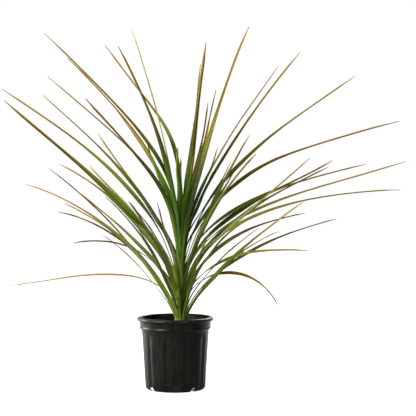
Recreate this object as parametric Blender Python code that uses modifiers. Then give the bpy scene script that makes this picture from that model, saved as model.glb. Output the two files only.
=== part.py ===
"""Potted dracaena: a blow-moulded nursery pot, its soil, the cane and 57 sword-shaped leaves.

Metres, +Z up. The origin is the centre of the pot's underside, +X is the viewer's right
and +Y points away from the viewer.
"""

import collections
import math

import bmesh
import bpy
from mathutils import Vector

MM = 0.001
GAP = 0.3 * MM
LEAF_GAP = 0.4 * MM

# Pot: one thin blow-moulded shell with a rolled lip, a plain collar and ten shallow flutes.
POT_HEIGHT = 156 * MM
LIP_RADIUS = 82.5 * MM
LIP_DROP = 9 * MM
COLLAR_RADIUS = 76.8 * MM
COLLAR_BOTTOM = 133 * MM
BODY_TOP_RADIUS = 72.5 * MM
BODY_TOP = 127.5 * MM
BODY_FOOT_RADIUS = 65 * MM
FOOT_HEIGHT = 7 * MM
BASE_RADIUS = 58.5 * MM
WALL = 1.5 * MM
WALL_ROWS = (122 * MM, 117 * MM, 110 * MM, 102 * MM)
POT_SEGMENTS = 80

# Angles are in degrees from +X.
FLUTES = 10
FIRST_FLUTE = -68.0
FLUTE_SPREAD = 12.5
FLUTE_DEPTH = 1.8 * MM
FLUTE_TOP = 124 * MM
FLUTE_ARCH = 8 * MM

HOLES = 4
FIRST_HOLE = -51.0
HOLE_RADIUS = 7.5 * MM
HOLE_CENTRE_HEIGHT = 2.5 * MM
HOLE_LENGTH = 24 * MM

# Soil: it fills the pot to a finger's width below the rim, is mounded round the cane and has a
# rounded lower corner, which leaves a channel behind the drain holes.
SOIL_EDGE_HEIGHT = 132 * MM
SOIL_CANE_HEIGHT = 138 * MM
SOIL_FLUTE_GROWTH = 1.25
SOIL_FLUTE_LIFT = 4 * MM
SOIL_CORNER = 7 * MM

# Cane: its foot stands in the soil and its tip is inside the crown.
CANE_X = 12 * MM
CANE_FOOT = 90 * MM
CANE_TAPER_START = 145 * MM
CANE_TOP = 346 * MM
CANE_RADIUS = 11 * MM
CANE_TIP_RADIUS = 2.2 * MM
CANE_SEGMENTS = 20

# Leaves
LEAF_THICKNESS = 0.7 * MM
LEAF_ROWS = 12
LEAF_COLUMNS = 2
LOWEST_LEAF = 150 * MM
HIGHEST_LEAF = 341 * MM
BASE_WIDTH_SHARE = 0.55
WRAP_SHARE = 1.1
TIP_WIDTH = 1.6 * MM
CHANNEL_SHARE = 0.11
UNROLLED_SHARE = 0.12
ROLLED_SHARE = 0.5

# One row a leaf, from the lowest and outermost to the highest and innermost. The heading is in
# degrees anticlockwise from +X. Reach, from the cane's axis to the tip, tip height and width are
# in mm. The leans, at the base and at the tip, are in degrees from upright. The roll, about the
# leaf's own length, is in degrees. Stiffness is how far the two leans carry along the leaf. A
# leaf whose bend is below 1 bends low down.
Leaf = collections.namedtuple(
    "Leaf", "heading reach tip_height low_lean tip_lean width roll stiffness bend"
)
LEAVES = (
    (55, 405, 330, 45, 80, 9, 10, 1.0, 0.85),
    (-118, 485, 465, 42, 66, 12, -10, 1.0, 0.85),
    (-60, 465, 404, 48, 68, 13, -20, 1.0, 0.85),
    (100, 360, 300, 42, 80, 10, 0, 1.0, 0.85),
    (130, 455, 400, 36, 75, 9, 0, 1.0, 0.85),
    (-110, 390, 415, 40, 70, 12, -20, 1.0, 0.85),
    (-56, 300, 385, 22, 75, 10, 0, 1.0, 0.85),
    (-130, 360, 385, 35, 80, 10, -20, 1.0, 0.85),
    (25, 390, 365, 33, 76, 9, 10, 1.0, 0.85),
    (142, 485, 445, 36, 78, 10, -10, 1.0, 0.85),
    (-102, 415, 405, 37, 70, 11, 60, 1.0, 0.85),
    (165, 400, 215, 30, 97, 8, -20, 1.0, 0.85),
    (123, 475, 425, 38, 66, 12, -10, 1.0, 0.85),
    (-40, 335, 308, 20, 92, 9, 20, 1.0, 0.7),
    (108, 405, 388, 36, 72, 11, 15, 1.0, 0.85),
    (-15, 215, 180, 24, 155, 11, 40, 1.0, 0.8),
    (-124, 355, 325, 33, 95, 11, 0, 1.0, 0.85),
    (48, 440, 375, 30, 84, 9, 0, 1.0, 0.85),
    (-94, 457, 404, 34, 60, 12, -45, 1.0, 0.85),
    (-60, 486, 485, 34, 61, 11, 10, 1.0, 0.85),
    (134, 435, 495, 30, 71, 11, -10, 1.0, 0.85),
    (60, 345, 398, 32, 68, 10, 0, 1.0, 0.85),
    (-67, 380, 495, 30, 68, 12, -70, 1.0, 0.85),
    (36, 425, 485, 28, 70, 9, 0, 1.0, 0.85),
    (87, 410, 600, 30, 50, 12, 40, 1.0, 0.85),
    (-155, 390, 610, 23, 50, 14, -85, 1.0, 0.85),
    (6, 485, 430, 21, 88, 12, 45, 1.0, 0.85),
    (-50, 222, 539, 27, 42, 13, 10, 1.0, 0.85),
    (122, 442, 492, 50, 65, 11, -80, 1.0, 0.85),
    (43, 495, 505, 25, 66, 10, 10, 1.0, 0.85),
    (-18, 485, 487, 21, 72, 12, 55, 1.0, 0.85),
    (170, 405, 655, 19, 56, 12, -60, 1.2, 0.85),
    (-80, 420, 608, 22, 50, 11, 45, 1.0, 0.85),
    (139, 449, 660, 20, 56, 12, -10, 1.0, 0.85),
    (18, 440, 490, 18, 76, 11, 20, 1.0, 0.85),
    (99, 300, 425, 24, 66, 10, 0, 1.0, 0.85),
    (-110, 470, 590, 12, 66, 11, 80, 1.2, 0.85),
    (10, 494, 583, 20, 76, 12, -60, 1.3, 0.76),
    (82, 428, 652, 24, 45, 11, 60, 1.0, 0.85),
    (122, 394, 568, 41, 56, 11, -70, 1.0, 0.55),
    (-10, 375, 670, 17, 55, 12, -40, 1.2, 0.9),
    (156, 334, 688, 6, 52, 11, -30, 1.4, 0.68),
    (92, 310, 455, 15, 70, 10, 40, 1.0, 0.85),
    (50, 350, 725, 12, 46, 9, -10, 1.0, 0.85),
    (-22, 270, 715, 13, 41, 12, -30, 1.0, 0.85),
    (115, 419, 644, 8, 60, 9, -80, 1.0, 0.85),
    (-150, 265, 698, 15, 50, 10, 10, 1.4, 0.85),
    (20, 160, 790, 14, 26, 13, 70, 1.0, 0.85),
    (172, 305, 775, 6, 45, 12, -40, 1.5, 0.75),
    (75, 165, 720, 13, 17, 12, -20, 1.0, 0.85),
    (-128, 200, 720, 6, 41, 12, 60, 1.0, 0.85),
    (52, 105, 600, 9, 13, 11, 0, 1.0, 0.85),
    (175, 108, 780, 4, 18, 10, -20, 1.0, 0.85),
    (92, 50, 500, 4, 10, 10, 0, 1.0, 0.85),
    (-50, 85, 740, 9, 11, 13, -60, 1.0, 0.85),
    (130, 285, 770, -3, 49, 12, -40, 1.5, 0.85),
    (-100, 45, 520, 4, 9, 10, 0, 1.0, 0.85),
)


def clear_scene():
    for old in list(bpy.data.objects):
        bpy.data.objects.remove(old, do_unlink=True)


def new_collection(name):
    made = bpy.data.collections.new(name)
    bpy.context.scene.collection.children.link(made)
    return made


def new_material(name, colour, roughness):
    made = bpy.data.materials.new(name)
    made.use_nodes = True
    shader = made.node_tree.nodes["Principled BSDF"]
    shader.inputs["Base Color"].default_value = (*colour, 1.0)
    shader.inputs["Roughness"].default_value = roughness
    shader.inputs["Metallic"].default_value = 0.0
    return made


def new_object(name, mesh, collection, material=None):
    made = bpy.data.objects.new(name, mesh)
    collection.objects.link(made)
    if material:
        mesh.materials.append(material)
    return made


def smooth_step(share):
    held = min(1.0, max(0.0, share))
    return held * held * (3.0 - 2.0 * held)


def turned_mesh(name, profile, segments):
    """The mesh of an (x, z) profile turned about Z."""
    outline = bpy.data.meshes.new(name)
    edges = [(i, i + 1) for i in range(len(profile) - 1)]
    outline.from_pydata([(x, 0.0, z) for x, z in profile], edges, [])
    turned = bpy.data.objects.new(name, outline)
    bpy.context.scene.collection.objects.link(turned)
    screw = turned.modifiers.new("Turn", "SCREW")
    screw.axis = "Z"
    screw.steps = segments
    screw.render_steps = segments
    screw.use_merge_vertices = True
    screw.merge_threshold = 0.00005
    bpy.context.view_layer.update()
    graph = bpy.context.evaluated_depsgraph_get()
    made = bpy.data.meshes.new_from_object(turned.evaluated_get(graph))
    bpy.data.objects.remove(turned, do_unlink=True)
    made.name = name
    return made


def rounded(centre, radius, start, end, count):
    """Points of an arc, its angles in degrees from +X."""
    points = []
    for i in range(count + 1):
        angle = math.radians(start + (end - start) * i / count)
        points.append((centre[0] + radius * math.cos(angle), centre[1] + radius * math.sin(angle)))
    return points


def outer_radius(height):
    """The radius of the pot's body, flutes left out, between the foot and the collar."""
    share = (height - FOOT_HEIGHT) / (BODY_TOP - FOOT_HEIGHT)
    return BODY_FOOT_RADIUS + share * (BODY_TOP_RADIUS - BODY_FOOT_RADIUS)


def flute_inset(x, y, height):
    """How far a flute draws the wall in at this point."""
    pitch = 360.0 / FLUTES
    turn = math.degrees(math.atan2(y, x)) - FIRST_FLUTE
    off = (turn + pitch / 2) % pitch - pitch / 2
    across = abs(off) / (FLUTE_SPREAD / 2)
    # The top of a flute is an arch, lower at its sides than in its middle.
    top = FLUTE_TOP - FLUTE_ARCH * across * across
    share = smooth_step(1.0 - across) ** 0.7
    return FLUTE_DEPTH * share * smooth_step((top - height) / FLUTE_ARCH)


def draw_in_flutes(mesh, least_radius, growth=1.0, lift=0.0):
    """Moves the points of a turned wall inwards along the flutes, which can be grown and raised."""
    for vertex in mesh.vertices:
        x, y, height = vertex.co
        radius = math.hypot(x, y)
        if radius > least_radius and height < BODY_TOP:
            inset = growth * flute_inset(x, y, height - lift) * smooth_step(height / FOOT_HEIGHT)
            vertex.co.x -= x / radius * inset
            vertex.co.y -= y / radius * inset


def pot_profile():
    """The pot's outline: down the outside from the top of the lip, then up the inside."""
    lip = LIP_DROP / 2
    outside = rounded((LIP_RADIUS - lip, POT_HEIGHT - lip), lip, 90, -60, 5)
    outside += [
        (COLLAR_RADIUS, POT_HEIGHT - LIP_DROP),
        (COLLAR_RADIUS - 0.6 * MM, COLLAR_BOTTOM + 2 * MM),
        (COLLAR_RADIUS + 0.2 * MM, COLLAR_BOTTOM),
        (COLLAR_RADIUS - 0.8 * MM, COLLAR_BOTTOM - 2 * MM),
    ]
    outside += [(outer_radius(z), z) for z in (BODY_TOP, *WALL_ROWS)]
    outside += [
        (BODY_FOOT_RADIUS, FOOT_HEIGHT),
        (BODY_FOOT_RADIUS - 1.8 * MM, FOOT_HEIGHT * 0.4),
        (BASE_RADIUS, 0.0),
        (0.0, 0.0),
    ]
    inside = [
        (0.0, WALL),
        (BASE_RADIUS - 0.6 * MM, WALL),
        (BODY_FOOT_RADIUS - WALL - 1.6 * MM, FOOT_HEIGHT * 0.4 + 0.8 * MM),
        (BODY_FOOT_RADIUS - WALL, FOOT_HEIGHT + 0.3 * MM),
    ]
    inside += [(outer_radius(z) - WALL, z) for z in (*reversed(WALL_ROWS), BODY_TOP)]
    inside += [
        (COLLAR_RADIUS - WALL - 0.8 * MM, COLLAR_BOTTOM - 1.2 * MM),
        (COLLAR_RADIUS - WALL, COLLAR_BOTTOM + 2 * MM),
        (COLLAR_RADIUS - WALL, POT_HEIGHT - LIP_DROP + 1 * MM),
        (LIP_RADIUS - LIP_DROP + 0.6 * MM, POT_HEIGHT - 1.2 * MM),
        (LIP_RADIUS - lip, POT_HEIGHT),
    ]
    return outside + inside


def build_pot(parts, cutters, material):
    mesh = turned_mesh("pot", pot_profile(), POT_SEGMENTS)
    draw_in_flutes(mesh, BASE_RADIUS - 2 * MM)
    mesh.shade_smooth()
    mesh.set_sharp_from_angle(angle=math.radians(35))
    pot = new_object("pot", mesh, parts, material)
    for i in range(HOLES):
        cut_drain_hole(pot, cutters, math.radians(FIRST_HOLE + 360.0 / HOLES * i), i + 1)
    return pot


def cut_drain_hole(pot, cutters, turn, number):
    """A round-topped hole through the corner between the wall and the base."""
    shape = bmesh.new()
    bmesh.ops.create_cone(
        shape, cap_ends=True, segments=20, radius1=HOLE_RADIUS, radius2=HOLE_RADIUS, depth=HOLE_LENGTH
    )
    mesh = bpy.data.meshes.new(f"drain_cutter_{number}")
    shape.to_mesh(mesh)
    shape.free()
    cutter = new_object(f"drain_cutter_{number}", mesh, cutters)
    middle = BODY_FOOT_RADIUS - 2 * MM
    cutter.location = (middle * math.cos(turn), middle * math.sin(turn), HOLE_CENTRE_HEIGHT)
    cutter.rotation_euler = (0.0, math.pi / 2, turn)
    cutter.hide_render = True
    cutter.display_type = "WIRE"
    cut = pot.modifiers.new(f"Drain hole {number}", "BOOLEAN")
    cut.operation = "DIFFERENCE"
    cut.solver = "EXACT"
    cut.object = cutter


def build_soil(parts, cutters, material):
    inside = WALL + GAP
    floor = WALL + GAP
    profile = [
        (0.0, SOIL_CANE_HEIGHT),
        (CANE_RADIUS * 2.6, SOIL_CANE_HEIGHT - 1 * MM),
        (COLLAR_RADIUS - 20 * MM, SOIL_EDGE_HEIGHT + 1.5 * MM),
        (outer_radius(BODY_TOP) - inside, SOIL_EDGE_HEIGHT),
        (outer_radius(BODY_TOP) - inside, BODY_TOP),
    ]
    profile += [(outer_radius(z) - inside, z) for z in WALL_ROWS]
    corner = SOIL_CORNER
    profile += [
        (outer_radius(FOOT_HEIGHT + corner) - inside, FOOT_HEIGHT + corner),
        (BASE_RADIUS - 1.5 * MM, FOOT_HEIGHT + 0.5 * MM),
        (BASE_RADIUS - corner, floor),
        (0.0, floor),
    ]
    mesh = turned_mesh("soil", profile, POT_SEGMENTS)
    draw_in_flutes(mesh, BASE_RADIUS, SOIL_FLUTE_GROWTH, SOIL_FLUTE_LIFT)
    soil = new_object("soil", mesh, parts, material)
    socket = new_object("cane_socket_cutter", cane_mesh("cane_socket_cutter", GAP), cutters)
    socket.location.x = CANE_X
    socket.hide_render = True
    socket.display_type = "WIRE"
    cut = soil.modifiers.new("Socket for the cane", "BOOLEAN")
    cut.operation = "DIFFERENCE"
    cut.solver = "EXACT"
    cut.object = socket
    return soil


def cane_radius(height):
    share = (height - CANE_TAPER_START) / (CANE_TOP - CANE_TAPER_START)
    return CANE_RADIUS + min(1.0, max(0.0, share)) * (CANE_TIP_RADIUS - CANE_RADIUS)


def cane_mesh(name, grown):
    """The cane, or the cane grown by a gap all round to cut its socket."""
    foot = CANE_FOOT - grown
    rounding = 3 * MM
    heights = [CANE_TOP - 8 * MM - 32 * MM * i for i in range(6)]
    profile = [(0.0, CANE_TOP + grown), (CANE_TIP_RADIUS * 0.7 + grown, CANE_TOP - 1 * MM + grown)]
    profile += [(cane_radius(z) + grown, z) for z in heights]
    profile += [(CANE_RADIUS + grown, z) for z in (CANE_TAPER_START, foot + rounding)]
    profile += [(CANE_RADIUS + grown - rounding, foot), (0.0, foot)]
    mesh = turned_mesh(name, profile, CANE_SEGMENTS)
    mesh.shade_smooth()
    return mesh


def build_cane(parts, material):
    cane = new_object("cane", cane_mesh("cane", 0.0), parts, material)
    cane.location.x = CANE_X
    return cane


def base_height(number):
    """The height of a leaf's base: close together at the foot and farther apart in the crown."""
    share = number / (len(LEAVES) - 1)
    return LOWEST_LEAF + (HIGHEST_LEAF - LOWEST_LEAF) * share**1.15


def leaf_path(leaf, number, share):
    """(distance from the cane's axis, height) at a share of the way along a leaf."""
    reach, tip_height = leaf.reach * MM, leaf.tip_height * MM
    low, high = math.radians(leaf.low_lean), math.radians(leaf.tip_lean)
    start_height = base_height(number)
    start_reach = cane_radius(start_height) + LEAF_GAP + LEAF_THICKNESS / 2
    length = math.hypot(reach - start_reach, tip_height - start_height)
    turn = max(0.05, abs(high - low))
    # An arc of this turn has handles this long. A shorter lower one makes a leaf bend low down.
    handle = leaf.stiffness * length * math.tan(turn / 4) / (1.5 * math.sin(turn / 2))
    lower, upper = leaf.bend * handle, (2.0 - leaf.bend) * handle
    points = (
        Vector((start_reach, start_height)),
        Vector((start_reach + lower * math.sin(low), start_height + lower * math.cos(low))),
        Vector((reach - upper * math.sin(high), tip_height - upper * math.cos(high))),
        Vector((reach, tip_height)),
    )
    rest = 1.0 - share
    weights = (rest**3, 3 * rest * rest * share, 3 * rest * share * share, share**3)
    return sum((point * weight for point, weight in zip(points, weights)), Vector((0.0, 0.0)))


def leaf_half_width(leaf, share, radius):
    """Half the width of a blade: narrow where it clasps the cane, widest near its middle, a fine tip."""
    width = leaf.width * MM
    base = min(BASE_WIDTH_SHARE * width, WRAP_SHARE * radius)
    grown = base + (width - base) * smooth_step(share / 0.38)
    thinned = 1.0 - 0.68 * smooth_step((share - 0.28) / 0.52)
    pointed = 1.0 - smooth_step((share - 0.86) / 0.14)
    return (TIP_WIDTH + (grown * thinned - TIP_WIDTH) * pointed) / 2


def leaf_points(leaf, number, rows, columns):
    """The grid of points of a blade's middle surface, row by row from the base to the tip."""
    heading = math.radians(leaf.heading)
    out = Vector((math.cos(heading), math.sin(heading), 0.0))
    up = Vector((0.0, 0.0, 1.0))
    side = Vector((-math.sin(heading), math.cos(heading), 0.0))
    points = []
    for row in range(rows + 1):
        share = (row / rows) ** 1.1
        here = leaf_path(leaf, number, share)
        before = leaf_path(leaf, number, max(0.0, share - 0.01))
        step = leaf_path(leaf, number, min(1.0, share + 0.01)) - before
        lean = math.atan2(step.x, step.y)
        along = out * math.sin(lean) + up * math.cos(lean)
        face = up * math.sin(lean) - out * math.cos(lean)
        unrolled = (share - UNROLLED_SHARE) / (ROLLED_SHARE - UNROLLED_SHARE)
        roll = math.radians(leaf.roll) * smooth_step(unrolled)
        across = side * math.cos(roll) + face * math.sin(roll)
        above = face * math.cos(roll) - side * math.sin(roll)
        inward = above * math.cos(lean) - along * math.sin(lean)
        middle = Vector((CANE_X, 0.0, 0.0)) + out * here.x + up * here.y
        half = leaf_half_width(leaf, share, here.x)
        channel = CHANNEL_SHARE * 2 * half * smooth_step(share / 0.2) * (1.0 - 0.5 * share)
        for column in range(columns + 1):
            place = 2.0 * column / columns - 1.0
            turn = place * half / here.x
            point = middle + across * here.x * math.sin(turn)
            point += inward * here.x * (1.0 - math.cos(turn)) + above * channel * abs(place)
            points.append(point)
    return points


def build_leaf(parts, material, number, leaf):
    """A blade: an open grid that widens and narrows along a curved path, with a thickness."""
    points = leaf_points(leaf, number, LEAF_ROWS, LEAF_COLUMNS)
    blade = bmesh.new()
    placed = [blade.verts.new(point) for point in points]
    for row in range(LEAF_ROWS):
        for column in range(LEAF_COLUMNS):
            corner = row * (LEAF_COLUMNS + 1) + column
            above = corner + LEAF_COLUMNS + 1
            blade.faces.new((placed[corner], placed[corner + 1], placed[above + 1], placed[above]))
    name = f"leaf_{number + 1:02d}"
    mesh = bpy.data.meshes.new(name)
    blade.to_mesh(mesh)
    blade.free()
    mesh.shade_smooth()
    made = new_object(name, mesh, parts, material)
    shell = made.modifiers.new("Thickness", "SOLIDIFY")
    shell.thickness = LEAF_THICKNESS
    shell.offset = 0.0
    return made


def main():
    clear_scene()
    parts = new_collection("potted_dracaena")
    cutters = new_collection("cutters")
    cutters.hide_render = True
    black_plastic = new_material("black_plastic", (0.012, 0.012, 0.013), 0.38)
    potting_soil = new_material("potting_soil", (0.035, 0.022, 0.014), 0.95)
    cane_bark = new_material("cane_bark", (0.23, 0.19, 0.12), 0.8)
    leaf_green = new_material("leaf_green", (0.10, 0.17, 0.045), 0.42)
    build_pot(parts, cutters, black_plastic)
    build_soil(parts, cutters, potting_soil)
    build_cane(parts, cane_bark)
    for number, row in enumerate(LEAVES):
        build_leaf(parts, leaf_green, number, Leaf(*row))


main()
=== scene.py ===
"""Potted dracaena: the looks. Metres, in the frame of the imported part: +Z up, +Y away from the viewer."""

import collections
import math
import random

import bmesh
import bpy
from mathutils import Matrix, Vector, noise


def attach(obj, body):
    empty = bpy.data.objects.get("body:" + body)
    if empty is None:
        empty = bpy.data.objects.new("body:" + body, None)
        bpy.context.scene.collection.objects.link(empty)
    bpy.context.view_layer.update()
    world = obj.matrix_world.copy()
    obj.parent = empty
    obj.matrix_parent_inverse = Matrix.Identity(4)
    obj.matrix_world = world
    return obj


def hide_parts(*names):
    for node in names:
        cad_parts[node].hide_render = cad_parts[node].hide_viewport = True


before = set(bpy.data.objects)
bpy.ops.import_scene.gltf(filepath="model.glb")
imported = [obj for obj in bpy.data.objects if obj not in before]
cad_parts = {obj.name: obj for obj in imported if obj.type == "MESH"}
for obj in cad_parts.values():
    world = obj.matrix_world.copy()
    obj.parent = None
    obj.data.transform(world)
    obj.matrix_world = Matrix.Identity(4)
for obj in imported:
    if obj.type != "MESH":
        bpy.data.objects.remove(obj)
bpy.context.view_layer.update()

MM = 0.001
BODY = "root"

# Pot
POT_HEIGHT = 156 * MM
LIP_RADIUS = 82.5 * MM
LIP_DROP = 9 * MM
COLLAR_RADIUS = 76.8 * MM
COLLAR_BOTTOM = 133 * MM
BODY_TOP_RADIUS = 72.5 * MM
BODY_TOP = 127.5 * MM
BODY_FOOT_RADIUS = 65 * MM
FOOT_HEIGHT = 7 * MM
BASE_RADIUS = 58.5 * MM
BASE_DISC_RADIUS = 3 * MM
BASE_GAP = 0.05 * MM
WALL = 1.5 * MM
POT_COLUMNS = 240
BODY_ROWS = 44
POT_SHARP_ANGLE = 38
SEAM_HEIGHT = 0.25 * MM
SEAM_HALF_ANGLE = 0.35
FLUTES = 10
FIRST_FLUTE = -68.0
FLUTE_SPREAD = 12.5
FLUTE_DEPTH = 1.8 * MM
FLUTE_TOP = 124 * MM
FLUTE_ARCH = 8 * MM
HOLES = 4
FIRST_HOLE = -51.0
HOLE_RADIUS = 7.5 * MM
HOLE_CENTRE_HEIGHT = 2.5 * MM
HOLE_LENGTH = 24 * MM
HOLE_SIDES = 48

# Soil
SOIL_EDGE_HEIGHT = 132 * MM
SOIL_CANE_HEIGHT = 138 * MM
MOUND_TOP_RADIUS = 12 * MM
MOUND_RADIUS = 60 * MM
EDGE_SETTLING = 1.6 * MM
EDGE_START = 62 * MM
EDGE_WIDTH = 10 * MM
SOIL_ROWS = 46
SOIL_COLUMNS = 150
SCATTER_RADIUS = 68.5 * MM
BARK_CHIPS = 460
BARK_SCATTER_RADIUS = 67 * MM
BARK_RINGS = 5
BARK_SIDES = 6
BARK_SEED = 11
PERLITE_GRAINS = 110
PEAT_CRUMBS = 1500
ROOTS_IN_A_HOLE = 5
ROOT_POINTS = 15
ROOT_SIDES = 10
ROOT_SEED = 23

# Cane
CANE_X = 12 * MM
CANE_FOOT = 120 * MM
CANE_TAPER_START = 145 * MM
CANE_TOP = 346 * MM
CANE_RADIUS = 11 * MM
CANE_TIP_RADIUS = 2.2 * MM
CANE_ROWS = 180
CANE_COLUMNS = 48
RING_SPACING = 3.4 * MM
RING_DEPTH = 0.30 * MM
RING_HALF_WIDTH = 0.16

# Leaves
LEAF_THICKNESS = 0.7 * MM
LEAF_GAP = 0.4 * MM
LEAF_SEED = 1000
LEAF_ROWS = 60
SHEATH_ROWS = 16
SHEATH_FOOT_LENGTH = 17 * MM
SHEATH_CROWN_LENGTH = 105 * MM
SHEATH_WRAP = 100.0
SHEATH_GAP = 0.25 * MM
SHEATH_ALONG = 0.06
SHEATH_BLEND_SHARE = 0.16
COLUMN_FOOT = 3.2 * MM
COLUMN_CROWN = 4.6 * MM
LEAST_BASE_HALF = 3.3 * MM
CROWN_BASE_HALF = 5.2 * MM
LOWEST_LEAF = 150 * MM
HIGHEST_LEAF = 341 * MM
BASE_WIDTH_SHARE = 0.55
WRAP_SHARE = 1.1
FULL_WIDTH_SHARE = 0.38
TAIL_WIDTH = 4.3 * MM
CHANNEL_SHARE = 0.11
UNROLLED_SHARE = 0.12
ROLLED_SHARE = 0.5
RIPPLE = 0.35 * MM
MIDRIB_HEIGHT = 0.35 * MM
FOLD_FROM = 0.45
FOLD_OVER = 0.35
FOLD_EXTRA = 2.8
ACROSS = (-1.0, -0.88, -0.62, -0.36, -0.14, 0.0, 0.14, 0.36, 0.62, 0.88, 1.0)

# Leaves thin toward the tail by THINNING of their width. A leaf SHORT_LEAF metres long starts at
# THIN_FROM of its length and takes THIN_OVER of it. One LONG_LEAF_EXTRA metres longer starts
# THIN_EARLIER sooner and takes THIN_LONGER more. Lengths run from a base MIDDLE_BASE mm high.
MIDDLE_BASE = 250.0
SHORT_LEAF = 0.36
LONG_LEAF_EXTRA = 0.16
THINNING = 0.62
THIN_FROM = 0.52
THIN_OVER = 0.38
THIN_EARLIER = 0.24
THIN_LONGER = 0.14

# From POINT_FROM the tip narrows, and from DRAWN_OUT_FROM it is drawn out, by DRAWN_OUT.
POINT_FROM = 0.86
DRAWN_OUT_FROM = 0.93
DRAWN_OUT = 0.65

# One row a leaf, placed as in the part, though some widths and rolls differ: heading in degrees
# from +X, reach, tip height and width in mm, leans at the base and the tip and the roll in degrees.
# Then the looks: from how far along the leaf dries to tan, how much painted shade darkens it, and how
# yellow.
# Then, where they aren't the usual ones, stiffness and bend.
Leaf = collections.namedtuple(
    "Leaf",
    "heading reach tip_height low_lean tip_lean width roll dry dark pale stiffness bend",
    defaults=(1.0, 0.85),
)
LEAVES = (
    (55, 405, 330, 45, 80, 8, 10, 0.74, 0.6, 0.2),
    (-118, 485, 465, 42, 66, 12, -15, 0.7, 0.0, 0.3),
    (-60, 465, 404, 48, 68, 11, -20, 0.68, 0.2, 0.4),
    (100, 360, 300, 42, 80, 10, 0, 0.84, 0.3, 0.3),
    (130, 455, 400, 36, 75, 11, -30, 0.64, 0.0, 0.8),
    (-110, 390, 415, 40, 70, 9, -20, 0.84, 0.8, 0.0),
    (-56, 300, 385, 22, 75, 10, 60, 0.84, 0.2, 0.4),
    (-130, 360, 385, 35, 80, 11, -35, 0.6, 0.0, 0.4),
    (25, 390, 365, 33, 76, 9, 35, 0.74, 0.5, 0.4),
    (142, 485, 445, 36, 78, 10, -25, 0.69, 0.2, 0.5),
    (-102, 415, 405, 37, 70, 11, 60, 0.79, 0.2, 0.3),
    (165, 400, 215, 30, 97, 9, -20, 0.15, 0.2, 1.0),
    (123, 475, 425, 38, 66, 12, -10, 0.84, 0.3, 0.3),
    (-40, 335, 308, 20, 92, 10, 50, 0.78, 0.5, 0.4, 1.0, 0.7),
    (108, 405, 388, 36, 72, 11, 15, 0.79, 0.3, 0.3),
    (-15, 215, 180, 24, 155, 9, 40, 0.55, 0.5, 0.4, 1.0, 0.8),
    (-124, 355, 325, 33, 95, 12, -25, 0.64, 0.0, 0.5),
    (48, 440, 375, 30, 84, 10, 35, 0.62, 0.1, 0.6),
    (-94, 457, 404, 34, 60, 12, -45, 0.89, 0.3, 0.2),
    (-60, 486, 485, 34, 61, 12, 70, 0.84, 0.7, 0.3),
    (134, 435, 495, 30, 71, 11, -30, 0.74, 0.2, 0.4),
    (60, 345, 398, 32, 68, 11, 30, 0.74, 0.2, 0.5),
    (-67, 380, 495, 30, 68, 10, -30, 0.84, 0.6, 0.2),
    (36, 425, 485, 28, 70, 11, 40, 0.74, 0.6, 0.5),
    (87, 410, 600, 30, 50, 12, 40, 0.79, 0.3, 0.3),
    (-155, 390, 610, 23, 50, 16, -85, 0.74, 0.1, 0.1),
    (6, 485, 430, 21, 88, 12, 35, 0.74, 0.3, 0.5),
    (-50, 222, 539, 27, 42, 13, 0, 0.89, 0.5, 0.3),
    (122, 442, 492, 50, 65, 11, -60, 0.79, 0.3, 0.3),
    (43, 495, 505, 25, 66, 12, 40, 0.69, 0.8, 0.4),
    (-18, 485, 487, 21, 72, 12, 45, 0.74, 0.5, 0.5),
    (170, 405, 655, 19, 56, 11, -60, 0.76, 0.0, 0.4, 1.2, 0.85),
    (-80, 420, 608, 22, 50, 10, 45, 0.84, 0.5, 0.1),
    (139, 449, 660, 20, 56, 12, -10, 0.7, 0.2, 0.4),
    (18, 440, 490, 18, 76, 12, 40, 0.74, 0.4, 0.4),
    (99, 300, 425, 24, 66, 10, 0, 0.84, 0.3, 0.2),
    (-110, 470, 590, 12, 66, 10, 50, 0.6, 0.0, 0.5, 1.2, 0.85),
    (10, 494, 583, 20, 76, 12, -60, 0.62, 0.8, 0.3, 1.3, 0.76),
    (82, 428, 652, 24, 45, 11, 20, 0.74, 0.5, 0.5),
    (122, 394, 568, 41, 56, 10, -50, 0.79, 0.3, 0.3, 1.0, 0.55),
    (-10, 375, 670, 17, 55, 13, -40, 0.62, 0.7, 0.2, 1.2, 0.9),
    (156, 334, 688, 6, 52, 12, -30, 0.69, 0.1, 0.5, 1.4, 0.68),
    (92, 310, 455, 15, 70, 13, 30, 0.6, 0.1, 0.6),
    (50, 350, 725, 12, 46, 13, -20, 0.6, 0.1, 0.5),
    (-22, 270, 715, 13, 41, 14, -20, 0.66, 0.8, 0.2),
    (115, 419, 644, 8, 60, 10, -50, 0.72, 0.1, 0.5),
    (-150, 265, 698, 15, 50, 10, 30, 0.69, 0.2, 0.6, 1.4, 0.85),
    (20, 160, 790, 14, 26, 15, 45, 0.66, 0.0, 0.4),
    (172, 305, 775, 6, 45, 14, -40, 0.66, 0.1, 0.5, 1.5, 0.75),
    (75, 165, 720, 13, 17, 13, -20, 0.72, 0.2, 0.4),
    (-128, 200, 720, 6, 41, 12, 40, 0.78, 1.0, 0.1),
    (52, 105, 600, 9, 13, 15, 0, 0.65, 0.1, 0.3),
    (175, 108, 780, 4, 18, 13, 20, 0.69, 0.3, 0.6),
    (92, 50, 500, 4, 10, 10, 0, 0.98, 0.3, 0.1),
    (-50, 85, 740, 9, 11, 16, -40, 0.85, 0.9, 0.1),
    (130, 285, 770, -3, 49, 10, -40, 0.69, 0.3, 0.2, 1.5, 0.85),
    (-100, 45, 520, 4, 9, 10, 0, 0.98, 0.1, 0.1),
)

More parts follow.
